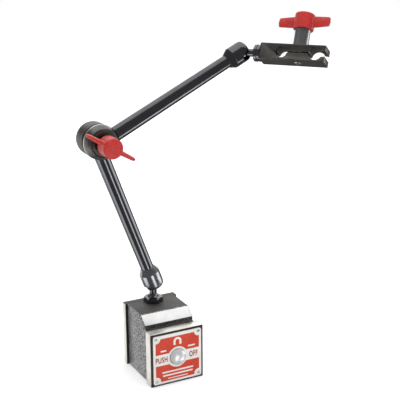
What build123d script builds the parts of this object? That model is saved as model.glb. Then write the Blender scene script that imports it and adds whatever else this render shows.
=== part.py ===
"""Push-button magnetic base with a two-tube, ball-ended holding arm and an indicator clamp.

Row frame in millimetres: +Z up, -Y is the front (the face with the push button), +X to its right.
The origin is the centre of the magnetic foot, on the surface it grips.
"""

import math
import os

from build123d import *

# ---- magnetic base ----
PLATE_W = 42.0        # width of both steel pole plates
BASE_D = 49.2         # front face to rear face
BASE_H = 48.7         # height of the body and the rear plate
FRONT_H = 40.8        # height of the front plate
FRONT_T = 8.3         # thickness of the front plate
REAR_T = 5.6          # thickness of the rear plate
BODY_W = 38.7
LEDGE_Z = 39.9        # shelf of the body behind the front plate
CHAMFER_Z = 42.5      # foot of the sloping ground face
BODY_FACE_Y = -11.65  # upright strip below the sloping face
TOP_EDGE_Y = -4.25    # front edge of the body's top
BUTTON_Z = 20.4       # height of the push rod's axis
BUTTON_R = 5.85
BORE_R = 10.0         # magnet bore through the body
SLEEVE_R = 9.0        # inside of the non-magnetic bore sleeve
PUSH = 5.5            # travel of the push rod

# ---- arm ----
STUD_Y = 15.15        # ball stud on the body's top
BALL_Z = 64.4
BALL_R = 5.56
NECK_R = 2.75
SPIGOT_R = 2.0
ARM = 121.0           # ball centre to elbow axis, both arms
LEAN = 20.35          # lower arm, degrees from upright towards -X
RISE = 26.4           # upper arm, degrees above level
DRUM_GAP = 13.45      # distance between the planes the two arms swing in
ELBOW_R = 5.39        # tube radius at the elbow axis
TIP_R = 4.70          # tube radius at the ball centre
TUBE_BORE = 2.7
ROD_R = 2.1
SOCKET_R = 7.6
CONE_LIMIT = 26.0     # lean that the socket's mouth allows all round

# ---- clamp ----
YAW = -50.3           # neck direction, degrees from +X, level
ROLL = 27.6           # knob's lean out of the upright plane through the neck
BLOCK_X = 15.56       # ball centre to the near face of the block
BLOCK_L = 47.8
BLOCK_H = 12.0
BLOCK_T = 12.4
SMALL_X = 31.95
LARGE_X = 56.1
SCREW_X = 43.15
SMALL_R = 4.0         # 8 mm stem
LARGE_R = 4.763       # 3/8 in stem
KNOB_SEAT = 12.5      # length of the sleeve under the clamp knob
KNOB_H = 11.7

FIT = 0.04            # radial running clearance

FRONT_Y = -BASE_D / 2
REAR_Y = BASE_D / 2
FRONT_BACK = FRONT_Y + FRONT_T
REAR_FRONT = REAR_Y - REAR_T

parts = {}


def rod(radius, low, high, at=(0, 0)):
    """Cylinder along Z between two heights."""
    return Pos(at[0], at[1], low) * Cylinder(radius, high - low, align=(Align.CENTER, Align.CENTER, Align.MIN))


def rod_y(radius, low, high, x=0.0, z=0.0):
    """Cylinder along Y between two depths."""
    return Pos(x, low, z) * Rot(-90, 0, 0) * Cylinder(radius, high - low, align=(Align.CENTER, Align.CENTER, Align.MIN))


def block(low, high):
    """Box between two corners."""
    size = [b - a for a, b in zip(low, high)]
    return Pos(*low) * Box(*size, align=(Align.MIN, Align.MIN, Align.MIN))


def turned(points):
    """Solid of revolution about Z from (radius, height) corners."""
    outline = Polyline(*[(r, 0, z) for r, z in points], close=True)
    return revolve(make_face(outline), axis=Axis.Z)


def hexagon(across_flats, low, high):
    """Hexagonal prism along Z."""
    face = RegularPolygon(across_flats / 2, 6, major_radius=False)
    return Pos(0, 0, low) * extrude(face, high - low)


def ring(radius, wire, height):
    """Round-wire ring about Z."""
    return Pos(0, 0, height) * Torus(radius, wire)


# ---- base body: cast block between the two pole plates, with a sloping ground face ----
profile = [
    (FRONT_BACK, 0),
    (FRONT_BACK, LEDGE_Z),
    (BODY_FACE_Y, LEDGE_Z),
    (BODY_FACE_Y, CHAMFER_Z),
    (TOP_EDGE_Y, BASE_H),
    (REAR_FRONT, BASE_H),
    (REAR_FRONT, 0),
]
body_face = make_face(Polyline(*[(0, y, z) for y, z in profile], close=True))
body = extrude(body_face, BODY_W / 2, dir=(1, 0, 0), both=True)
body -= rod_y(BORE_R, FRONT_BACK - 1, REAR_FRONT + 1, z=BUTTON_Z)
body -= Pos(0, STUD_Y, 0) * rod(3.2, BASE_H - 12, BASE_H + 1)
detent_x = 11.8
body -= Pos(0, 0, BUTTON_Z) * Rot(0, 90, 0) * rod(2.0, 8.0, BODY_W / 2 + 1)

# plate screws stand at the four corners of each plate, clear of the bore
FRONT_SCREWS = [(sx * 12.8, z) for sx in (-1, 1) for z in (8.0, 32.8)]
REAR_SCREWS = [(sx * 12.8, z) for sx in (-1, 1) for z in (8.0, 42.5)]
for x, z in FRONT_SCREWS:
    body -= rod_y(1.65, FRONT_BACK - 1, FRONT_BACK + 9, x, z)
for x, z in REAR_SCREWS:
    body -= rod_y(1.65, REAR_FRONT - 9, REAR_FRONT + 1, x, z)
parts["base_body"] = body

# ---- pole plates: ground steel, their lower edges are the magnet's feet ----
front_plate = block((-PLATE_W / 2, FRONT_Y, 0), (PLATE_W / 2, FRONT_BACK, FRONT_H))
rear_plate = block((-PLATE_W / 2, REAR_FRONT, 0), (PLATE_W / 2, REAR_Y, BASE_H))
front_plate = chamfer(front_plate.edges().filter_by(Axis.Z).sort_by(Axis.Y)[:2], 0.4)
rear_plate = chamfer(rear_plate.edges().filter_by(Axis.Z).sort_by(Axis.Y)[-2:], 0.4)
front_plate -= rod_y(BUTTON_R + 0.25, FRONT_Y - 1, FRONT_BACK + 1, z=BUTTON_Z)
rear_plate -= rod_y(BUTTON_R + 0.25, REAR_FRONT - 1, REAR_Y + 1, z=BUTTON_Z)


def socket_screw(length):
    """Cap screw along -Z with its head on top at height zero and a hexagon recess."""
    screw = rod(2.75, -3.0, 0) + rod(1.6, -3.0 - length, -3.0)
    return screw - hexagon(2.5, -1.6, 1)


def drive_pin():
    """Round-headed drive pin along -Z, head standing on height zero."""
    head = turned([(0, 0), (1.15, 0), (1.15, 0.2), (0.8, 0.55), (0, 0.65)])
    slot = block((-1.3, -0.16, 0.35), (1.3, 0.16, 1.0))
    return head + rod(0.7, -3.0, 0) - slot


front_screws = []
for x, z in FRONT_SCREWS:
    front_plate -= rod_y(3.0, FRONT_Y - 1, FRONT_Y + 3.2, x, z) + rod_y(1.85, FRONT_Y, FRONT_BACK + 1, x, z)
    front_screws.append(Pos(x, FRONT_Y + 0.2, z) * Rot(90, 0, 0) * socket_screw(12.0))
rear_screws = []
for x, z in REAR_SCREWS:
    rear_plate -= rod_y(3.0, REAR_Y - 3.2, REAR_Y + 1, x, z) + rod_y(1.85, REAR_FRONT - 1, REAR_Y, x, z)
    rear_screws.append(Pos(x, REAR_Y - 0.2, z) * Rot(-90, 0, 0) * socket_screw(9.5))
parts["front_plate_screws"] = Compound(children=front_screws)
parts["rear_plate_screws"] = Compound(children=rear_screws)

# ---- nameplates: thin enamelled sheets held by four drive pins each ----
LABEL_T = 0.5
LABEL_W = 38.4
LABEL_H = 37.6


def nameplate(y_low, middle_z, height):
    """Rounded sheet with a hole for the button."""
    sheet = Pos(0, y_low, middle_z) * Rot(-90, 0, 0) * extrude(RectangleRounded(LABEL_W, height, 1.6), LABEL_T)
    return sheet - rod_y(BUTTON_R + 0.3, y_low - 1, y_low + 2, z=BUTTON_Z)


front_label = nameplate(FRONT_Y - LABEL_T, FRONT_H / 2, LABEL_H)
rear_label = nameplate(REAR_Y, FRONT_H / 2, LABEL_H)
PIN_SPOTS = [(sx * 16.9, FRONT_H / 2 + sz * 16.5) for sx in (-1, 1) for sz in (-1, 1)]
front_pins = []
rear_pins = []
for x, z in PIN_SPOTS:
    front_label -= rod_y(0.75, FRONT_Y - 2, FRONT_Y + 1, x, z)
    rear_label -= rod_y(0.75, REAR_Y - 1, REAR_Y + 2, x, z)
    front_plate -= rod_y(0.75, FRONT_Y - 1, FRONT_Y + 3, x, z)
    rear_plate -= rod_y(0.75, REAR_Y - 3, REAR_Y + 1, x, z)
    front_pins.append(Pos(x, FRONT_Y - LABEL_T, z) * Rot(90, 0, 0) * drive_pin())
    rear_pins.append(Pos(x, REAR_Y + LABEL_T, z) * Rot(-90, 0, 0) * drive_pin())
parts["front_pole_plate"] = front_plate
parts["rear_pole_plate"] = rear_plate
parts["front_nameplate"] = front_label
parts["rear_nameplate"] = rear_label
parts["front_nameplate_pins"] = Compound(children=front_pins)
parts["rear_nameplate_pins"] = Compound(children=rear_pins)

# ---- push rod with its magnet, sliding in a brass sleeve ----
sleeve = rod_y(BORE_R - 0.02, FRONT_BACK, REAR_FRONT, z=BUTTON_Z)
sleeve -= rod_y(SLEEVE_R, FRONT_BACK - 1, REAR_FRONT + 1, z=BUTTON_Z)
sleeve -= Pos(0, 0, BUTTON_Z) * Rot(0, 90, 0) * rod(2.0, 8.0, 12.0)
parts["bore_sleeve"] = sleeve
BUTTON_OUT = 3.6
CORE_LOW = FRONT_BACK + 1.0
CORE_HIGH = REAR_FRONT - 1.0 - PUSH
parts["push_rod"] = rod_y(2.5, FRONT_Y + 1.0, REAR_Y - PUSH, z=BUTTON_Z)
disc_y = [CORE_LOW, (CORE_LOW + CORE_HIGH) / 2 - 2.0, CORE_HIGH - 4.0]
discs = []
for y in disc_y:
    disc = rod_y(SLEEVE_R - FIT, y, y + 4.0, z=BUTTON_Z) - rod_y(2.52, y - 1, y + 5, z=BUTTON_Z)
    discs.append(disc)
notches = []
for y in (0.0, -PUSH):
    notches.append(Pos(SLEEVE_R + 0.9, y, BUTTON_Z) * Sphere(1.9))
track = rod_y(1.76, -PUSH, 0, SLEEVE_R + 0.9, BUTTON_Z)
discs[1] -= notches[0] + track
parts["pole_discs"] = Compound(children=discs)
magnets = []
for low, high in ((disc_y[0] + 4.0, disc_y[1]), (disc_y[1] + 4.0, disc_y[2])):
    magnet = rod_y(SLEEVE_R - 0.3, low, high, z=BUTTON_Z) - rod_y(2.52, low - 1, high + 1, z=BUTTON_Z)
    magnets.append(magnet - notches[1] - notches[0] - track)
parts["magnet_slugs"] = Compound(children=magnets)


def button(length):
    """Domed push button along +Z, its foot at height zero, bored for the rod."""
    cap = rod(BUTTON_R, 0, length)
    dome = Pos(0, 0, length - 12.0) * Sphere(12.0)
    cap = cap & (rod(BUTTON_R, 0, length - 3.0) + dome)
    return cap - rod(2.52, -1, length - 2.4)


front_button = Pos(0, CORE_LOW, BUTTON_Z) * Rot(90, 0, 0) * button(CORE_LOW - FRONT_Y + BUTTON_OUT)
rear_button = Pos(0, CORE_HIGH, BUTTON_Z) * Rot(-90, 0, 0) * button(REAR_Y - CORE_HIGH - PUSH + BUTTON_OUT)
parts["front_button"] = front_button
parts["rear_button"] = rear_button

# ---- detent: ball, spring and grub screw in the side of the body, holding the rod at either end ----
parts["detent_ball"] = Pos(SLEEVE_R + 0.9, 0, BUTTON_Z) * Sphere(1.7)
coil = Pos(detent_x, 0, BUTTON_Z) * Rot(0, 90, 0) * rod(1.6, 0.1, 3.0)
coil -= Pos(detent_x, 0, BUTTON_Z) * Rot(0, 90, 0) * rod(1.0, -1, 5.0)
parts["detent_spring"] = coil
grub = Pos(0, 0, BUTTON_Z) * Rot(0, 90, 0) * (rod(1.96, detent_x + 3.2, BODY_W / 2 - 0.6) - hexagon(1.6, BODY_W / 2 - 2.6, 30))
parts["detent_screw"] = grub

# ---- ball stud: hexagon foot screwed into the body's top, neck, spigot for the ball ----
HEX_TOP = BASE_H + 4.2
hexagon_foot = Rot(0, 0, -27.5) * hexagon(12.7, BASE_H, HEX_TOP)
stud = rod(3.1, BASE_H - 10.5, BASE_H) + (hexagon_foot & turned([
    (0, BASE_H),
    (7.6, BASE_H),
    (7.6, HEX_TOP - 0.9),
    (5.9, HEX_TOP),
    (0, HEX_TOP),
]))
stud += turned([
    (0, HEX_TOP - 1),
    (4.3, HEX_TOP - 1),
    (4.3, HEX_TOP + 0.2),
    (3.2, HEX_TOP + 1.3),
    (NECK_R, HEX_TOP + 2.6),
    (NECK_R, BALL_Z - 5.2),
    (SPIGOT_R, BALL_Z - 5.2),
    (SPIGOT_R, BALL_Z + 4.9),
    (0, BALL_Z + 4.9),
])
parts["base_ball_stud"] = Pos(0, STUD_Y, 0) * stud


def bored_ball():
    """Ball with its bore along Z."""
    return Sphere(BALL_R) - rod(SPIGOT_R + 0.03, -BALL_R, BALL_R)


parts["lower_ball"] = Pos(0, STUD_Y, BALL_Z) * bored_ball()

# ---- arm pieces, each drawn with the ball centre at zero and the arm along +Z ----
CONE_Z = 8.6          # start of the socket's shoulder
SOCKET_Z = 13.1       # end of the socket
MOUTH_Z = -3.9        # open end of the socket
SEAT_Z = 3.05         # rim of the ball seat, clear of the neck at a right angle


def tube_radius(z):
    return TIP_R + (ELBOW_R - TIP_R) * z / ARM


def socket():
    """Ball socket with a shoulder, a rounded mouth and a slot that lets the neck swing to a right angle."""
    shell = turned([
        (0, MOUTH_Z),
        (6.1, MOUTH_Z),
        (7.2, MOUTH_Z + 1.2),
        (7.5, MOUTH_Z + 2.2),
        (SOCKET_R, MOUTH_Z + 3.6),
        (SOCKET_R, CONE_Z),
        (tube_radius(SOCKET_Z) + 0.25, SOCKET_Z),
        (0, SOCKET_Z),
    ])
    shell -= Sphere(BALL_R + 0.07) + rod(BALL_R + 0.07, 0, CONE_Z)
    flare = math.tan(math.radians(CONE_LIMIT + 4))
    low_r = NECK_R + 0.35 + flare * 7.5
    shell -= turned([(0, -7.5), (low_r, -7.5), (NECK_R + 0.35, 0), (0, 0)])
    slot_half = NECK_R + 0.32
    slot = block((-10, -slot_half, -10), (0, slot_half, 0)) + Pos(-10, 0, 0) * Rot(0, 90, 0) * rod(slot_half, 0, 10)
    return shell - slot


def seat():
    """Cupped thrust pad between the push rod and the ball."""
    pad = rod(BALL_R - 0.04, SEAT_Z, CONE_Z - 0.4)
    return pad - Sphere(BALL_R + 0.05)


SPIGOT_LOW = CONE_Z + 0.2
lower_socket = socket() - rod(3.9, CONE_Z - 1, SOCKET_Z + 1)
upper_socket = socket() - rod(3.9 + FIT, CONE_Z - 1, SOCKET_Z + 1) - ring(3.9, 0.55, 10.6)


TUBE_STEP = ARM - 10.9
TUBE_END = ARM - 7.2
STEP_R = 3.8


def tube(groove):
    """Tapered tube with a stepped end for the socket and another inside the elbow drum."""
    outer = turned([
        (0, SPIGOT_LOW),
        (3.88, SPIGOT_LOW),
        (3.88, SOCKET_Z + 0.05),
        (tube_radius(SOCKET_Z), SOCKET_Z + 0.05),
        (tube_radius(TUBE_STEP), TUBE_STEP),
        (STEP_R, TUBE_STEP),
        (STEP_R, TUBE_END),
        (0, TUBE_END),
    ])
    hollow = outer - rod(TUBE_BORE, SPIGOT_LOW - 1, ARM)
    if groove:
        hollow -= ring(3.9, 0.5, 10.6)
    return hollow


def push_rod():
    """Long rod inside the tube, with rounded ends."""
    body_rod = rod(ROD_R, CONE_Z - 0.3, ARM - 4.9)
    return fillet(body_rod.edges(), 0.6)


# ---- elbow, drawn with its axis along +Z pointing to the front and the front drum's rim at zero ----
LOWER_K = -10.25      # plane of the lower arm
UPPER_K = LOWER_K + DRUM_GAP
REAR_BACK = -18.2
REAR_FACE = -2.7
FRONT_FACE = -1.75
rear_drum = turned([
    (0, REAR_BACK),
    (7.6, REAR_BACK),
    (10.2, REAR_BACK + 0.9),
    (11.5, REAR_BACK + 2.4),
    (11.95, REAR_BACK + 4.2),
    (12.1, -9.0),
    (12.1, REAR_FACE - 0.7),
    (11.5, REAR_FACE),
    (0, REAR_FACE),
])
front_drum = turned([
    (0, FRONT_FACE),
    (11.0, FRONT_FACE),
    (11.0, -0.1),
    (12.1, -0.1),
    (12.38, 0.25),
    (12.3, 1.2),
    (11.95, 3.6),
    (11.35, 6.0),
    (10.75, 7.6),
    (10.4, 7.95),
    (9.8, 7.95),
    (9.8, 7.45),
    (0, 7.45),
])
BOLT_R = 3.0
CONE_R = 4.6
rear_drum -= rod(CONE_R + 0.3, LOWER_K - 4.6, REAR_FACE + 1) + rod(BOLT_R + FIT, REAR_BACK - 1, 0)
rear_drum -= hexagon(8.1, REAR_BACK - 1, REAR_BACK + 2.4)
front_drum -= rod(CONE_R + 0.3, FRONT_FACE - 1, UPPER_K + 3.2) + rod(BOLT_R + FIT, 0, 20)


def draw_cone(low, high, wide_low):
    """Conical collar on the draw bolt that pushes a rod outwards when it is pulled along."""
    radii = (CONE_R, CONE_R - 1.0) if wide_low else (CONE_R - 1.0, CONE_R)
    return turned([(0, low), (radii[0], low), (radii[1], high), (0, high)]) - rod(BOLT_R + FIT, low - 1, high + 1)


rear_cone = draw_cone(LOWER_K - 4.2, LOWER_K + 4.2, True)
front_cone = draw_cone(UPPER_K - 4.6, UPPER_K + 2.8, False)
washer = rod(10.6, REAR_FACE, FRONT_FACE - 0.03) - rod(CONE_R + 0.5, REAR_FACE - 1, 0)
thrust_plate = turned([
    (0, 7.5),
    (9.7, 7.5),
    (9.7, 8.05),
    (8.6, 8.7),
    (0, 9.1),
]) - rod(BOLT_R + FIT, 0, 20)
boss = rod(6.3, 9.15, 12.75) - rod(BOLT_R + FIT, 0, 20)
boss = chamfer(boss.edges().filter_by(GeomType.CIRCLE).group_by(Axis.Z)[-1].sort_by(SortBy.RADIUS)[-1:], 0.5)
bolt = hexagon(8.0, REAR_BACK, REAR_BACK + 2.3) + rod(BOLT_R, REAR_BACK + 2.3, 21.0)
KNOB_K = 12.9


def wing_knob():
    """Moulded two-wing knob, rear face at height zero, bored for its threaded insert."""
    hub = turned([
        (0, 0),
        (6.9, 0),
        (7.3, 0.5),
        (7.15, KNOB_H - 1.0),
        (6.75, KNOB_H - 0.35),
        (6.0, KNOB_H),
        (0, KNOB_H),
    ])
    reach = 19.8
    blade_side = make_face(Polyline(
        (-reach + 1.0, 0, 2.6),
        (-reach, 0, 3.8),
        (-reach, 0, 8.0),
        (-reach + 1.0, 0, 9.0),
        (0, 0, 9.9),
        (reach - 1.0, 0, 9.0),
        (reach, 0, 8.0),
        (reach, 0, 3.8),
        (reach - 1.0, 0, 2.6),
        (0, 0, 1.4),
        close=True,
    ))
    blade = extrude(blade_side, 5, dir=(0, 1, 0), both=True)
    def section(height, thin):
        """Outline of both wings at one height, thinned evenly."""
        rounds = [Pos(side * (reach - 1.4), 0) * e for side in (-1, 1) for e in Circle(1.4 - thin).edges()]
        return Pos(0, 0, height) * make_hull(rounds + list(Circle(2.2 - thin).edges()))

    front_half = loft([section(5.8, 0), section(10.8, 0.8)], ruled=True)
    rear_half = loft([section(5.8, 0), section(0.8, 0.8)], ruled=True)
    blade &= front_half + rear_half
    knob = hub + blade
    return knob - rod(4.0, -1, 9.0)


def insert(thread_r):
    """Knurled brass insert moulded into the knob."""
    sleeve_part = rod(3.98, 0.1, 8.9) - rod(thread_r, -1, 10)
    return sleeve_part - ring(3.98, 0.5, 3.0) - ring(3.98, 0.5, 6.0)


# ---- placing the arm ----
lower_at = Pos(0, STUD_Y, BALL_Z) * Rot(0, -LEAN, 0)
elbow_x = -ARM * math.sin(math.radians(LEAN))
elbow_z = BALL_Z + ARM * math.cos(math.radians(LEAN))
elbow_y = STUD_Y + LOWER_K
elbow_at = Pos(elbow_x, elbow_y, elbow_z) * Rot(90, 0, 0)
upper_y = STUD_Y - DRUM_GAP
upper_ball_x = elbow_x + ARM * math.cos(math.radians(RISE))
upper_ball_z = elbow_z + ARM * math.sin(math.radians(RISE))
upper_at = Pos(upper_ball_x, upper_y, upper_ball_z) * Rot(0, -(90 + RISE), 0)


def pocket(plane, turn):
    """Stepped pocket for a tube that leaves the elbow axis in the given plane and direction."""
    shape = rod(tube_radius(TUBE_STEP) + 0.03, ARM - 20, TUBE_STEP)
    shape += rod(STEP_R + 0.01, TUBE_STEP - 1, TUBE_END) + rod(ROD_R + 0.1, TUBE_END - 1, ARM - 3.0)
    return Pos(0, 0, plane) * Rot(0, 0, turn) * Rot(0, -90, 0) * Pos(0, 0, -ARM) * shape


rear_drum -= pocket(LOWER_K, -90 + LEAN)
front_drum -= pocket(UPPER_K, RISE)
parts["lower_drum"] = elbow_at * rear_drum
parts["upper_drum"] = elbow_at * front_drum
parts["elbow_bolt"] = elbow_at * bolt
parts["rear_draw_cone"] = elbow_at * rear_cone
parts["front_draw_cone"] = elbow_at * front_cone
parts["elbow_friction_washer"] = elbow_at * washer
parts["elbow_thrust_plate"] = elbow_at * thrust_plate
parts["elbow_boss"] = elbow_at * boss
knob_at = elbow_at * Pos(0, 0, KNOB_K) * Rot(0, 0, -31.5)
parts["elbow_wing_knob"] = knob_at * wing_knob()
parts["elbow_knob_insert"] = knob_at * insert(BOLT_R + 0.05)

parts["lower_socket"] = lower_at * lower_socket
parts["lower_ball_seat"] = lower_at * seat()
parts["lower_tube"] = lower_at * tube(False)
parts["lower_push_rod"] = lower_at * push_rod()
slot_across = -math.sin(math.radians(YAW))
slot_along = math.sin(math.radians(RISE)) * math.cos(math.radians(YAW))
socket_at = upper_at * Rot(0, 0, math.degrees(math.atan2(slot_across, slot_along)))
parts["upper_socket"] = socket_at * upper_socket
parts["upper_ball_seat"] = upper_at * seat()
parts["upper_tube"] = upper_at * tube(True)
parts["upper_push_rod"] = upper_at * push_rod()
snap = ring(3.9, 0.42, 10.6) - block((-1.0, 0, 9), (1.0, 6, 12))
parts["socket_snap_ring"] = upper_at * snap

# ---- clamp, drawn with the ball centre at zero, the neck along +X and the knob along +Z ----
clamp_stud = turned([
    (0, -4.9),
    (SPIGOT_R, -4.9),
    (SPIGOT_R, 5.2),
    (NECK_R, 5.2),
    (NECK_R, 10.9),
    (5.7, 10.9),
    (6.1, 11.3),
    (6.1, 13.2),
    (5.5, 13.4),
    (5.5, 14.2),
    (5.9, 14.4),
    (5.9, BLOCK_X - 0.02),
    (2.9, BLOCK_X - 0.02),
    (2.9, BLOCK_X + 7.0),
    (0, BLOCK_X + 7.0),
])
clamp_stud = Rot(0, 90, 0) * clamp_stud
half_h = BLOCK_H / 2
half_t = BLOCK_T / 2
right = BLOCK_X + BLOCK_L
jaw = block((BLOCK_X, -half_t, -half_h), (right, half_t, half_h))
jaw = chamfer(jaw.faces().sort_by(Axis.X)[0].edges(), 0.8)
jaw -= rod_y(SMALL_R, -10, 10, x=SMALL_X)
jaw -= rod_y(LARGE_R, -10, 10, x=LARGE_X)
jaw -= block((SMALL_X - 5.6, -10, -0.45), (LARGE_X, 10, 0.45))
mouth = make_face(Polyline(
    (LARGE_X + 1, 0, -2.4),
    (right + 1, 0, -1.75),
    (right + 1, 0, 1.75),
    (LARGE_X + 1, 0, 2.4),
    close=True,
))
jaw -= extrude(mouth, 10, dir=(0, 1, 0), both=True)
jaw -= rod(2.6, 0, 10, at=(SCREW_X, 0)) + rod(2.5, -10, 0, at=(SCREW_X, 0))
jaw -= Rot(0, 90, 0) * rod(2.95, BLOCK_X - 1, BLOCK_X + 7.3)
clamp_sleeve = rod(5.5, half_h + 0.02, half_h + KNOB_SEAT, at=(SCREW_X, 0)) - rod(2.7, 0, 30, at=(SCREW_X, 0))
knob_seat = half_h + KNOB_SEAT + 0.05
screw = rod(2.4, -half_h - 0.3, knob_seat + 8.0, at=(SCREW_X, 0))
screw = chamfer(screw.edges().sort_by(Axis.Z)[:1], 0.5)

# clamp axes: level neck, then the block's roll about it
neck_dir = Vector(math.cos(math.radians(YAW)), math.sin(math.radians(YAW)), 0)
side_dir = Vector(-math.sin(math.radians(YAW)), math.cos(math.radians(YAW)), 0)
knob_dir = Vector(0, 0, 1) * math.cos(math.radians(ROLL)) + side_dir * math.sin(math.radians(ROLL))
clamp_at = Plane(origin=(upper_ball_x, upper_y, upper_ball_z), x_dir=neck_dir, z_dir=knob_dir).location
parts["upper_ball"] = clamp_at * Rot(0, 90, 0) * bored_ball()
parts["clamp_ball_stud"] = clamp_at * clamp_stud
parts["clamp_block"] = clamp_at * jaw
parts["clamp_sleeve"] = clamp_at * clamp_sleeve
parts["clamp_screw"] = clamp_at * screw
clamp_knob_at = clamp_at * Pos(SCREW_X, 0, knob_seat) * Rot(0, 0, -9)
parts["clamp_wing_knob"] = clamp_knob_at * wing_knob()
parts["clamp_knob_insert"] = clamp_knob_at * insert(2.43)

os.makedirs("parts", exist_ok=True)
for name, shape in parts.items():
    export_step(shape, f"parts/{name}.step")
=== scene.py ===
"""Push-button magnetic base with a two-tube holding arm and an indicator clamp, dressed over its CAD frame."""

import math

import bpy
from mathutils import Matrix, Vector


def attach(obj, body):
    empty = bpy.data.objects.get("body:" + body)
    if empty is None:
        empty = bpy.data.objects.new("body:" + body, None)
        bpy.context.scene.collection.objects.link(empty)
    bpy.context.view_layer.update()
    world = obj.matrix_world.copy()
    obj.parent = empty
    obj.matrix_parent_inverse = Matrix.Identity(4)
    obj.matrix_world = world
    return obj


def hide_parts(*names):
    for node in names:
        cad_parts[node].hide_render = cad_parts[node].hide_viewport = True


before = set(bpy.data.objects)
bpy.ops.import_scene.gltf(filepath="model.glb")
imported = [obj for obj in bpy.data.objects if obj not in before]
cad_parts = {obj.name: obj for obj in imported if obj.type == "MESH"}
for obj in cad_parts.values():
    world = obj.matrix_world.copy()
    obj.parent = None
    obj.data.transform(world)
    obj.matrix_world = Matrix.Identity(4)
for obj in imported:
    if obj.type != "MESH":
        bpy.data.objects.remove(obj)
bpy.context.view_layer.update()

# ---- base body -------------------------------------------------------------------------------
# Cast iron block between the two pole plates. Its sides are sprayed with grey hammertone paint,
# its top is left in dull dark paint, and the sloping face above the button is ground bright.

MM = 0.001
BODY_TOP = 48.7 * MM
STRIP_FOOT = 39.4 * MM
STRIP_BACK = -11.0 * MM
SLOPE = Vector((0, -6.2, 7.4)).normalized()


def tint(code):
    """Linear colour of an sRGB hex value."""
    channels = [int(code[i:i + 2], 16) / 255 for i in (1, 3, 5)]
    return [c / 12.92 if c <= 0.04045 else ((c + 0.055) / 1.055) ** 2.4 for c in channels] + [1.0]


def add(tree, kind, settings=None, **sockets):
    """One shader node. A socket is given a value or another node's output; a_b stands for the name 'a b'."""
    node = tree.nodes.new("ShaderNode" + kind)
    for name, value in (settings or {}).items():
        if name == "stops":
            while len(node.color_ramp.elements) < len(value):
                node.color_ramp.elements.new(0.5)
            for element, (place, colour) in zip(node.color_ramp.elements, value):
                element.position = place
                element.color = colour
        else:
            setattr(node, name, value)
    for name, value in sockets.items():
        socket = node.inputs[int(name[1:])] if name[1:].isdigit() else node.inputs[name.replace("_", " ")]
        if isinstance(value, bpy.types.NodeSocket):
            tree.links.new(value, socket)
        else:
            socket.default_value = value
    return node


def start(name):
    """New material, its node tree, its shader and the place on the object that its patterns read."""
    material = bpy.data.materials.new(name)
    material.use_nodes = True
    tree = material.node_tree
    shader = tree.nodes["Principled BSDF"]
    place = add(tree, "TexCoord").outputs["Object"]
    return material, tree, shader, place


def edge_mask(tree, radius, low=0.01, high=0.12):
    """1 along sharp edges within a radius and 0 on the faces between them."""
    soft = add(tree, "Bevel", {"samples": 4}, Radius=radius)
    hard = add(tree, "NewGeometry")
    along = add(tree, "VectorMath", {"operation": "DOT_PRODUCT"}, i0=soft.outputs[0], i1=hard.outputs["Normal"])
    turn = add(tree, "Math", {"operation": "SUBTRACT"}, i0=1.0, i1=along.outputs["Value"])
    return soft, add(tree, "MapRange", None, Value=turn.outputs[0], From_Min=low, From_Max=high).outputs[0]


def finish_metal(name, light, dark, worn, rough, grain, bump, edge=0.25, metallic=1.0, streak=(1, 1, 1),
                 wear=1.0):
    """Metal or painted metal: cloudy colour, finer grain in its gloss and relief, and edges rubbed lighter."""
    material, tree, shader, place = start(name)
    cloud = add(tree, "TexNoise", None, Vector=place, Scale=1 / (9 * MM), Detail=4.0, Roughness=0.6)
    shade = add(tree, "ValToRGB", {"stops": [(0.32, tint(dark)), (0.68, tint(light))]},
                Fac=cloud.outputs["Fac"])
    stretched = add(tree, "Mapping", None, Vector=place, Scale=streak)
    fine = add(tree, "TexNoise", None, Vector=stretched.outputs[0], Scale=1 / (grain * MM), Detail=3.0,
               Roughness=0.65)
    soft, mask = edge_mask(tree, edge * MM)
    patchy = add(tree, "TexNoise", None, Vector=place, Scale=1 / (2.2 * MM), Detail=3.0)
    patch = add(tree, "MapRange", None, Value=patchy.outputs["Fac"], From_Min=0.38, From_Max=0.6, To_Max=wear)
    rubbed = add(tree, "Math", {"operation": "MULTIPLY"}, i0=mask, i1=patch.outputs[0])
    colour = add(tree, "Mix", {"data_type": "RGBA"}, i0=rubbed.outputs[0], i6=shade.outputs[0], i7=tint(worn))
    tree.links.new(colour.outputs[2], shader.inputs["Base Color"])
    gloss = add(tree, "MapRange", None, Value=fine.outputs["Fac"], From_Min=0.3, From_Max=0.7,
                To_Min=rough[0], To_Max=rough[1])
    tree.links.new(gloss.outputs[0], shader.inputs["Roughness"])
    relief = add(tree, "Bump", None, Strength=0.5, Distance=bump * MM, Height=fine.outputs["Fac"],
                 Normal=soft.outputs[0])
    tree.links.new(relief.outputs[0], shader.inputs["Normal"])
    shader.inputs["Metallic"].default_value = metallic
    return material, tree, shader, place


def dress(names, *materials):
    """Give CAD pieces their finish."""
    for name in names:
        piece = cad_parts[name]
        piece.data.materials.clear()
        for material in materials:
            piece.data.materials.append(material)


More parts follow.
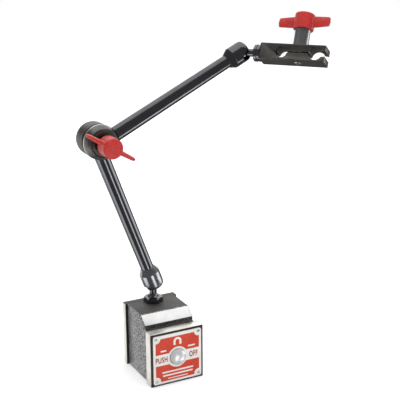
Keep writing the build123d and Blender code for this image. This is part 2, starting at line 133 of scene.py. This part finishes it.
def eased(source, name, body, width, segments=2, angle=30):
    """Copy of a CAD piece with its sharp edges broken, which takes the piece's place."""
    bpy.ops.object.select_all(action="DESELECT")
    piece = bpy.data.objects.new(name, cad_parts[source].data.copy())
    bpy.context.scene.collection.objects.link(piece)
    bpy.context.view_layer.objects.active = piece
    piece.select_set(True)
    bpy.ops.object.mode_set(mode="EDIT")
    bpy.ops.mesh.select_all(action="SELECT")
    bpy.ops.mesh.remove_doubles(threshold=0.002 * MM)
    bpy.ops.mesh.customdata_custom_splitnormals_clear()
    bpy.ops.mesh.dissolve_limited(angle_limit=math.radians(0.8))
    bpy.ops.object.mode_set(mode="OBJECT")
    if width:
        bevel = piece.modifiers.new("edges", "BEVEL")
        bevel.width = width * MM
        bevel.segments = segments
        bevel.angle_limit = math.radians(angle)
        bevel.use_clamp_overlap = False
        bpy.ops.object.modifier_apply(modifier="edges")
    bpy.ops.object.shade_smooth_by_angle(angle=math.radians(35))
    piece.data.materials.clear()
    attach(piece, body)
    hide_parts(source)
    return piece


def hammertone(name, high, middle, low):
    """Hammertone paint, drawn up into shallow cells about 1 mm across; its mottle follows the cells, and the
    darkening into the hollows between them is painted shade.
    """
    material, tree, shader, place = start(name)
    wander = add(tree, "TexNoise", None, Vector=place, Scale=1 / (2.0 * MM), Detail=2.0)
    shifted = add(tree, "VectorMath", {"operation": "MULTIPLY_ADD"}, i0=wander.outputs["Color"],
                  i1=(0.7 * MM, 0.7 * MM, 0.7 * MM), i2=place)
    cells = add(tree, "TexVoronoi", {"feature": "SMOOTH_F1"}, Vector=shifted.outputs[0], Scale=1 / (1.05 * MM),
                Smoothness=0.45)
    flake = add(tree, "TexNoise", None, Vector=place, Scale=1 / (0.45 * MM), Detail=2.0)
    height = add(tree, "Math", {"operation": "MULTIPLY_ADD"}, i0=flake.outputs["Fac"], i1=0.4,
                 i2=cells.outputs["Distance"])
    # painted shade: the colour runs from the high tone on the cell tops to the low tone in the hollows between cells
    shade = add(tree, "ValToRGB", {"stops": [(0.32, tint(high)), (0.62, tint(middle)), (0.92, tint(low))]},
                Fac=height.outputs[0])
    soft, mask = edge_mask(tree, 0.5 * MM)
    colour = add(tree, "Mix", {"data_type": "RGBA"}, i0=mask, i6=shade.outputs[0], i7=tint(high))
    tree.links.new(colour.outputs[2], shader.inputs["Base Color"])
    relief = add(tree, "Bump", {"invert": True}, Strength=0.5, Distance=0.18 * MM, Height=height.outputs[0],
                 Normal=soft.outputs[0])
    tree.links.new(relief.outputs[0], shader.inputs["Normal"])
    gloss = add(tree, "MapRange", None, Value=flake.outputs["Fac"], From_Min=0.3, From_Max=0.7,
                To_Min=0.3, To_Max=0.45)
    tree.links.new(gloss.outputs[0], shader.inputs["Roughness"])
    shader.inputs["Metallic"].default_value = 0.3
    return material


# grey on the sides; the narrow strip and ledge under the sloping face get a darker copy of the same paint, painted
# shade for the shadow that falls in that step
grey_hammertone = hammertone("grey_hammertone_paint", "#C6C6C7", "#8B8B8D", "#444446")
shaded_hammertone = hammertone("shaded_hammertone_paint", "#6E6D6A", "#4C4B49", "#2E2D2C")
# the top keeps a flat dark coat, dusty and a little uneven
dull_paint = finish_metal("dull_dark_paint", "#565350", "#464441", "#8A8780", (0.55, 0.75), 0.35, 0.03, 0.35,
                          0.1)[0]
# ground steel: close parallel scratches along the width, drawn about 0.15 mm apart; the plates'
# own is a little yellower than the sloping face
ground_steel = finish_metal("ground_steel", "#E9E7E0", "#D6D3CA", "#FBFAF6", (0.24, 0.42), 0.15, 0.01, 0.3,
                            streak=(0.06, 1, 1))[0]
milled_face = finish_metal("milled_steel_face", "#F3F3F3", "#E6E6E6", "#FDFDFD", (0.3, 0.42), 0.2, 0.008, 0.3,
                           streak=(0.06, 1, 1))[0]

housing = eased("base_body", "base_body_casting", "base", 0.45, 3)
for material in (grey_hammertone, dull_paint, milled_face, shaded_hammertone):
    housing.data.materials.append(material)
for face in housing.data.polygons:
    if face.normal.dot(SLOPE) > 0.999:
        face.material_index = 2
    elif face.normal.z > 0.99 and face.center.z > BODY_TOP - 0.1 * MM:
        face.material_index = 1
    # painted shade: the strip and ledge under the sloping face take the darker copy of the hammertone
    elif face.center.z > STRIP_FOOT and face.center.y < STRIP_BACK and abs(face.normal.x) < 0.5:
        face.material_index = 3

# ---- pole plates -----------------------------------------------------------------------------
# Two thick mild-steel plates with ground ends and foot. The outer face of each is painted black,
# which leaves a dark border round its nameplate. The rear one is dark on its top and inside too.

FRONT_FACE = -24.6 * MM
REAR_FACE = 24.6 * MM
black_paint = finish_metal("black_face_paint", "#1F1F1E", "#141414", "#5A5A57", (0.35, 0.5), 0.4, 0.02, 0.25,
                           0.0)[0]
for source, name, face_y in (("front_pole_plate", "front_plate_ground", FRONT_FACE),
                             ("rear_pole_plate", "rear_plate_ground", REAR_FACE)):
    plate = eased(source, name, "base", 0.2, 2)
    for material in (ground_steel, black_paint, dull_paint):
        plate.data.materials.append(material)
    for face in plate.data.polygons:
        if abs(face.center.y - face_y) < 0.6 * MM and abs(face.normal.y) > 0.3:
            face.material_index = 1
        elif face_y > 0 and face.normal.y < -0.3:
            face.material_index = 1
        elif face_y > 0 and face.normal.z > 0.3:
            face.material_index = 2

# ---- nameplates ------------------------------------------------------------------------------
# Thin white-enamelled sheets with two red panels, a white band that says what the button does and
# a white ring round it. A horseshoe sign and plain white rules stand where wording would be.

white_enamel = finish_metal("white_enamel", "#F4F2EE", "#E7E4DE", "#C9C6BF", (0.18, 0.3), 0.5, 0.01, 0.2,
                            0.0)[0]
red_enamel = finish_metal("red_enamel", "#D6462F", "#C93E2A", "#F0D8D0", (0.2, 0.34), 0.4, 0.012, 0.12, 0.0,
                          wear=0.5)[0]
sign_ink = finish_metal("dark_red_ink", "#9A2E26", "#86241F", "#9A2E26", (0.35, 0.5), 0.3, 0.005, 0.05, 0.0)[0]
dress(("front_nameplate", "rear_nameplate"), white_enamel)
MIDDLE = 20.4 * MM
PRINT_T = 0.05 * MM
PLATE_T = 0.5 * MM


def settle(piece, name, body, material):
    """Put a finished piece's place into its mesh, name it, give it its finish and let it ride on its body."""
    bpy.ops.object.select_all(action="DESELECT")
    piece.select_set(True)
    bpy.context.view_layer.objects.active = piece
    bpy.ops.object.transform_apply(location=True, rotation=True, scale=True)
    piece.name = name
    piece.data.name = name
    piece.data.materials.clear()
    piece.data.materials.append(material)
    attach(piece, body)
    return piece


def slab(x, y, z, wide, thick, high):
    """Plain block with its place in its mesh, ready to be cut."""
    bpy.ops.object.select_all(action="DESELECT")
    bpy.ops.mesh.primitive_cube_add(size=1, location=(x, y, z))
    block = bpy.context.object
    block.scale = (wide, thick, high)
    bpy.ops.object.transform_apply(location=True, rotation=True, scale=True)
    return block


def disc(x, y, z, radius, thick):
    """Round cutter or disc across the plate."""
    bpy.ops.object.select_all(action="DESELECT")
    bpy.ops.mesh.primitive_cylinder_add(vertices=96, radius=radius, depth=thick, location=(x, y, z),
                                        rotation=(math.pi / 2, 0, 0))
    bpy.ops.object.transform_apply(location=True, rotation=True, scale=True)
    return bpy.context.object


def cut(piece, tool, operation="DIFFERENCE"):
    """Boolean with a tool that is then thrown away."""
    bpy.ops.object.select_all(action="DESELECT")
    piece.select_set(True)
    bpy.context.view_layer.objects.active = piece
    boolean = piece.modifiers.new("cut", "BOOLEAN")
    boolean.operation = operation
    boolean.object = tool
    boolean.solver = "EXACT"
    bpy.ops.object.modifier_apply(modifier="cut")
    bpy.data.objects.remove(tool)
    return piece


def lettering(text, x, y, z, high, wide, facing):
    """Thin upright capitals standing on the plate."""
    bpy.ops.object.select_all(action="DESELECT")
    bpy.ops.object.text_add()
    words = bpy.context.object
    words.data.body = text
    words.data.align_x = "CENTER"
    words.data.align_y = "CENTER"
    words.data.space_character = 1.15
    words.data.extrude = 0.004
    words.data.offset = 0.03
    bpy.ops.object.convert(target="MESH")
    size = words.dimensions.copy()
    turn = Matrix.Rotation(math.pi / 2, 4, "X")
    if facing > 0:
        turn = Matrix.Rotation(math.pi, 4, "Z") @ turn
    middle = sum((Vector(c) for c in words.bound_box), Vector()) / 8
    words.data.transform(Matrix.Translation(-middle))
    words.data.transform(Matrix.Diagonal((wide / size.x, high / size.y, PRINT_T / size.z, 1)))
    words.data.transform(turn)
    words.data.transform(Matrix.Translation((x, y, z)))
    return words


for side, face_y, word in (("front", FRONT_FACE - PLATE_T, "OFF"), ("rear", REAR_FACE + PLATE_T, "ON")):
    out = -1 if side == "front" else 1
    skin_y = face_y + out * PRINT_T / 2
    for part, low, high in (("upper", 4.1, 16.4), ("lower", -17.2, -4.5)):
        panel = slab(0, skin_y, MIDDLE + (low + high) / 2 * MM, 34.8 * MM, PRINT_T, (high - low) * MM)
        cut(panel, disc(0, face_y, MIDDLE, 7.9 * MM, 1 * MM))
        corner_z = MIDDLE + (16.5 if part == "upper" else -16.5) * MM
        for sx in (-1, 1):
            cut(panel, disc(sx * 16.9 * MM, face_y, corner_z, 3.4 * MM, 1 * MM))
        settle(panel, side + "_label_" + part + "_red_panel", "base", red_enamel)
    ink_y = face_y + out * PRINT_T / 2
    for text, x, wide in (("PUSH", -12.8, 9.4), (word, 12.8, 6.8)):
        words = lettering(text, -out * x * MM, ink_y, MIDDLE - 0.2 * MM, 4.4 * MM, wide * MM, out)
        settle(words, side + "_label_" + text.lower(), "base", sign_ink)
    rules_y = face_y + out * PRINT_T * 1.5
    rules = ((0, -10.4, 25.0, 1.2), (0, -13.0, 24.0, 1.2), (0, -15.6, 16.0, 0.7), (-11.2, 6.6, 4.4, 1.2),
             (11.2, 6.6, 5.6, 1.2))
    for count, (x, z, wide, high) in enumerate(rules):
        rule = slab(-out * x * MM, rules_y, MIDDLE + z * MM, wide * MM, PRINT_T, high * MM)
        settle(rule, side + "_label_rule_" + str(count + 1), "base", white_enamel)
    # horseshoe sign: half a ring spun from one edge, with two legs drawn down from its ends
    bpy.ops.object.select_all(action="DESELECT")
    bpy.ops.mesh.primitive_plane_add(size=1, location=(0, 0, 0))
    sign = bpy.context.object
    sign.data.clear_geometry()
    sign.data.from_pydata([(1.5 * MM, 0, 0), (3.2 * MM, 0, 0)], [(0, 1)], [])
    bpy.ops.object.mode_set(mode="EDIT")
    bpy.ops.mesh.select_all(action="SELECT")
    bpy.ops.mesh.spin(steps=24, angle=math.pi, center=(0, 0, 0), axis=(0, -1, 0))
    bpy.ops.object.mode_set(mode="OBJECT")
    for vertex in sign.data.vertices:
        vertex.co.z = abs(vertex.co.z)
        vertex.select = vertex.co.z < 1e-6
    for edge in sign.data.edges:
        edge.select = all(abs(sign.data.vertices[v].co.z) < 1e-6 for v in edge.vertices)
    bpy.ops.object.mode_set(mode="EDIT")
    bpy.ops.mesh.extrude_region_move(TRANSFORM_OT_translate={"value": (0, 0, -2.6 * MM)})
    bpy.ops.mesh.select_all(action="SELECT")
    bpy.ops.mesh.remove_doubles(threshold=0.001 * MM)
    bpy.ops.mesh.normals_make_consistent(inside=False)
    bpy.ops.object.mode_set(mode="OBJECT")
    sheet = sign.modifiers.new("thickness", "SOLIDIFY")
    sheet.thickness = PRINT_T
    sheet.offset = 0
    bpy.ops.object.modifier_apply(modifier="thickness")
    sign.location = (0, rules_y, MIDDLE + 12.2 * MM)
    settle(sign, side + "_label_magnet_sign", "base", white_enamel)

# ---- drive pins and plate screws -------------------------------------------------------------
# Small bright round-headed pins hold the nameplates; the plates are held by blackened cap screws
# under the nameplates, set in counterbores.

bright_pin = finish_metal("bright_pin_steel", "#E4E3E0", "#CFCECA", "#FAFAF8", (0.18, 0.3), 0.3, 0.01, 0.15)[0]
black_oxide = finish_metal("black_oxide_steel", "#4A4946", "#3A3936", "#8B8983", (0.28, 0.4), 0.3, 0.012, 0.2,
                           wear=0.6)[0]
dress(("front_nameplate_pins", "rear_nameplate_pins"), bright_pin)
dress(("front_plate_screws", "rear_plate_screws", "detent_screw"), black_oxide)

# ---- push rod and magnets --------------------------------------------------------------------
# A rod with a chromed button at each end carries two ring magnets and three iron discs in a brass
# sleeve. Pushing it moves the magnets in line with the plates. A ball and spring hold it there.

chrome = finish_metal("satin_chrome", "#F1F1F3", "#E6E6E9", "#FBFBFC", (0.3, 0.4), 0.6, 0.004, 0.3, 0.55)[0]
turned_steel = finish_metal("turned_steel", "#C2C0BC", "#A9A7A2", "#E2E0DC", (0.25, 0.4), 0.2, 0.012, 0.2)[0]
brass = finish_metal("turned_brass", "#C9A35A", "#B08A45", "#E8CC8C", (0.22, 0.36), 0.25, 0.01, 0.2)[0]
magnet_alloy = finish_metal("sintered_magnet_alloy", "#6E6B66", "#55534F", "#8C8983", (0.5, 0.7), 0.3, 0.03,
                            0.2)[0]
dress(("front_button", "rear_button"), chrome)
dress(("push_rod", "pole_discs", "detent_ball", "detent_spring", "lower_push_rod", "upper_push_rod"),
      turned_steel)
dress(("bore_sleeve", "rear_draw_cone", "front_draw_cone", "elbow_knob_insert", "clamp_knob_insert",
       "lower_ball_seat", "upper_ball_seat"), brass)
dress(("magnet_slugs",), magnet_alloy)

# ---- ball studs and balls --------------------------------------------------------------------
# Hardened steel balls pressed on blackened studs. The base stud is screwed into the body's top by
# its hexagon; the other is the neck of the indicator clamp.

polished_black = finish_metal("polished_blackened_steel", "#77767A", "#66656A", "#B4B4B8", (0.12, 0.2), 0.4,
                              0.005, 0.3, wear=0.6)[0]
dress(("base_ball_stud", "clamp_ball_stud", "lower_ball", "upper_ball"), polished_black)
dress(("elbow_bolt", "elbow_friction_washer", "elbow_boss", "socket_snap_ring"), black_oxide)

# ---- tubes and sockets -----------------------------------------------------------------------
# Tapered steel tubes with ball sockets, polished and finished in gloss black chrome, so they show
# the lamps as hard bright stripes. The lower socket gets a lighter copy of the chrome, a painted highlight for the
# brighter light it shows.

black_chrome = finish_metal("gloss_black_chrome", "#68696D", "#5E5F62", "#A5A5A2", (0.12, 0.18), 0.8, 0.003,
                            0.25, wear=0.5)[0]
# painted highlight: a lighter copy of the black chrome for the lower socket, which looks more brightly lit
lit_black_chrome_copy = finish_metal("lit_black_chrome_copy", "#A2A3A7", "#8F9095", "#D0D1D4", (0.2, 0.3), 0.5,
                                   0.004, 0.3, wear=0.6)[0]
dress(("lower_tube", "upper_tube", "upper_socket"), black_chrome)
dress(("lower_socket",), lit_black_chrome_copy)

# ---- elbow drums -----------------------------------------------------------------------------
# Turned steel drums that swing against each other on a washer. The rear one is blackened dull; the
# front one is satin grey with a painted highlight, a pale band round its rim at the joint, and a dark thrust plate
# in its face.

dull_black = finish_metal("dull_blackened_steel", "#6C6A67", "#5A5855", "#A19E98", (0.38, 0.55), 0.3, 0.012, 0.3,
                          wear=0.7)[0]
satin_grey, tree, shader, place = finish_metal("satin_grey_steel", "#72716E", "#605F5C", "#A5A39D", (0.3, 0.42),
                                               0.2, 0.01, 0.3, wear=0.7)
# painted highlight: a pale band round the rim beside the joint, where the rim catches the light; the drum's axis is
# along Y
depth = add(tree, "SeparateXYZ", None, Vector=place)
highlight_reach = add(tree, "MapRange", None, Value=depth.outputs["Y"], From_Min=3.7 * MM, From_Max=4.1 * MM)
base_link = shader.inputs["Base Color"].links[0].from_socket
rim_highlight = add(tree, "Mix", {"data_type": "RGBA"}, i0=highlight_reach.outputs[0], i6=base_link, i7=tint("#F0EEE8"))
tree.links.new(rim_highlight.outputs[2], shader.inputs["Base Color"])
dress(("lower_drum", "elbow_thrust_plate"), dull_black)
dress(("upper_drum",), satin_grey)

# ---- indicator clamp -------------------------------------------------------------------------
# Split steel block with two stem bores, blackened to a satin finish. A smoother grey sleeve stands
# under the knob, and a bright screw goes through both jaws.

satin_sleeve = finish_metal("satin_sleeve_steel", "#A9ABAE", "#96989B", "#D6D7D8", (0.24, 0.34), 0.2, 0.008,
                            0.3)[0]
dress(("clamp_sleeve",), satin_sleeve)
dress(("clamp_screw",), turned_steel)
block = eased("clamp_block", "clamp_jaw_block", "clamp", 0.3, 2)
satin_black = finish_metal("satin_blackened_steel", "#7C7975", "#6A6763", "#C2BFB8", (0.34, 0.46), 0.25, 0.012, 0.35,
                           wear=0.8)[0]
block.data.materials.append(satin_black)

# ---- wing knobs ------------------------------------------------------------------------------
# Moulded red glass-filled nylon with a leathery skin of about 1 mm grain, pressed on brass inserts.

nylon, tree, shader, place = start("moulded_red_nylon")
cloud = add(tree, "TexNoise", None, Vector=place, Scale=1 / (6 * MM), Detail=3.0)
shade = add(tree, "ValToRGB", {"stops": [(0.3, tint("#B21A18")), (0.7, tint("#C42421"))]},
            Fac=cloud.outputs["Fac"])
peel = add(tree, "TexNoise", None, Vector=place, Scale=1 / (1.0 * MM), Detail=3.0, Roughness=0.6)
soft, mask = edge_mask(tree, 0.7 * MM)
# painted highlight: the knobs' edges are mixed toward pale pink for the light they catch
colour = add(tree, "Mix", {"data_type": "RGBA"}, i0=mask, i6=shade.outputs[0], i7=tint("#F09A94"))
spots = add(tree, "MapRange", None, Value=peel.outputs["Fac"], From_Min=0.35, From_Max=0.65, To_Max=0.28)
mottle = add(tree, "Mix", {"data_type": "RGBA"}, i0=spots.outputs[0], i6=colour.outputs[2], i7=tint("#E4605A"))
tree.links.new(mottle.outputs[2], shader.inputs["Base Color"])
gloss = add(tree, "MapRange", None, Value=peel.outputs["Fac"], From_Min=0.3, From_Max=0.7,
            To_Min=0.26, To_Max=0.4)
tree.links.new(gloss.outputs[0], shader.inputs["Roughness"])
relief = add(tree, "Bump", None, Strength=0.8, Distance=0.3 * MM, Height=peel.outputs["Fac"],
             Normal=soft.outputs[0])
tree.links.new(relief.outputs[0], shader.inputs["Normal"])
shader.inputs["Subsurface Weight"].default_value = 0.05
shader.inputs["Subsurface Scale"].default_value = 0.002
for source, name, body in (("elbow_wing_knob", "elbow_knob_moulding", "elbow_knob"),
                           ("clamp_wing_knob", "clamp_knob_moulding", "clamp_knob")):
    knob = eased(source, name, body, 0.3, 3)
    knob.data.materials.append(nylon)

# ---- floor, lamps and camera -----------------------------------------------------------------
# White paper floor in a white surround, lit softly from above and in front. Five more soft lamps are
# seen only in reflections, where they draw the stripes on the polished tubes.

bpy.ops.object.select_all(action="DESELECT")
bpy.ops.mesh.primitive_plane_add(size=3.2, location=(0, 0, 0))
floor = bpy.context.object
floor.name = "floor"
paper, tree, shader, place = start("white_paper_floor")
grain = add(tree, "TexNoise", None, Vector=place, Scale=200.0, Detail=3.0)
shade = add(tree, "ValToRGB", {"stops": [(0.3, tint("#F6F6F6")), (0.7, tint("#F9F9F9"))]},
            Fac=grain.outputs["Fac"])
tree.links.new(shade.outputs[0], shader.inputs["Base Color"])
shader.inputs["Roughness"].default_value = 0.7
shader.inputs["Specular IOR Level"].default_value = 0.1
# the paper is lifted a little for the camera alone, so that it stays white at its far end
glow = add(tree, "MapRange", None, Value=add(tree, "LightPath").outputs["Is Camera Ray"], To_Max=0.3)
shader.inputs["Emission Color"].default_value = (1, 1, 1, 1)
tree.links.new(glow.outputs[0], shader.inputs["Emission Strength"])
floor.data.materials.append(paper)
floor.visible_glossy = False

world = bpy.data.worlds.new("studio")
bpy.context.scene.world = world
world.use_nodes = True
tree = world.node_tree
rays = add(tree, "LightPath")
surround = tree.nodes["Background"]
surround.inputs["Color"].default_value = (1, 1, 1, 1)
dimmed = add(tree, "MapRange", None, Value=rays.outputs["Is Glossy Ray"], To_Min=0.66, To_Max=0.2)
level = add(tree, "Math", {"operation": "MAXIMUM"}, i0=rays.outputs["Is Camera Ray"], i1=dimmed.outputs[0])
tree.links.new(level.outputs[0], surround.inputs["Strength"])


def lamp(name, azimuth, elevation, distance, wide, high, radiance, diffuse=True, glossy=True):
    """Rectangular soft lamp, set by its direction from the object, its size in degrees and its brightness."""
    a, e = math.radians(azimuth), math.radians(elevation)
    toward = Vector((math.sin(a) * math.cos(e), -math.cos(a) * math.cos(e), math.sin(e)))
    data = bpy.data.lights.new(name, "AREA")
    data.shape = "RECTANGLE"
    data.size = 2 * distance * math.tan(math.radians(wide / 2))
    data.size_y = 2 * distance * math.tan(math.radians(high / 2))
    data.energy = radiance * math.pi * data.size * data.size_y
    item = bpy.data.objects.new(name, data)
    bpy.context.scene.collection.objects.link(item)
    item.location = Vector((0, 0, 0.15)) + toward * distance
    item.rotation_euler = toward.to_track_quat("Z", "Y").to_euler()
    item.visible_camera = False
    item.visible_diffuse = diffuse
    item.visible_glossy = glossy
    return item


lamp("overhead_softbox", 140, 72, 1.5, 92, 70, 1.15)
lamp("front_fill", -10, 25, 2.0, 50, 30, 1.0, glossy=False)
lamp("rear_panel", 152, 14, 2.0, 60, 36, 1.3, diffuse=False)
lamp("rear_left_panel", -152, -17, 2.0, 50, 44, 1.05, diffuse=False)
lamp("front_low_strip", 10, -27, 2.0, 15, 34, 3.4, diffuse=False)
lamp("right_panel", 75, -4, 2.0, 36, 24, 2.6, diffuse=False)
lamp("right_low_strip", 55, -38, 2.0, 15, 15, 4.0, diffuse=False)
lamp("left_low_panel", -95, -44, 2.0, 36, 44, 2.0, diffuse=False)

azimuth, elevation, roll = math.radians(-27.5), math.radians(16.76), math.radians(-0.33)
reach = math.cos(elevation)
back = Vector((math.sin(azimuth) * reach, -math.cos(azimuth) * reach, math.sin(elevation)))
right = Vector((math.cos(azimuth), math.sin(azimuth), 0))
up = back.cross(right)
across = right * math.cos(roll) + up * math.sin(roll)
upward = up * math.cos(roll) - right * math.sin(roll)
stand = Vector((19.22, -24.56, 135.39)) * MM + back * 679.49 * MM
lens = bpy.data.cameras.new("camera")
lens.lens = 87.75
lens.sensor_width = 36
lens.clip_end = 50
camera = bpy.data.objects.new("camera", lens)
bpy.context.scene.collection.objects.link(camera)
camera.matrix_world = Matrix.Translation(stand) @ Matrix((across, upward, back)).transposed().to_4x4()
bpy.context.scene.camera = camera
bpy.context.scene.view_settings.view_transform = "Standard"
bpy.context.scene.view_settings.look = "None"
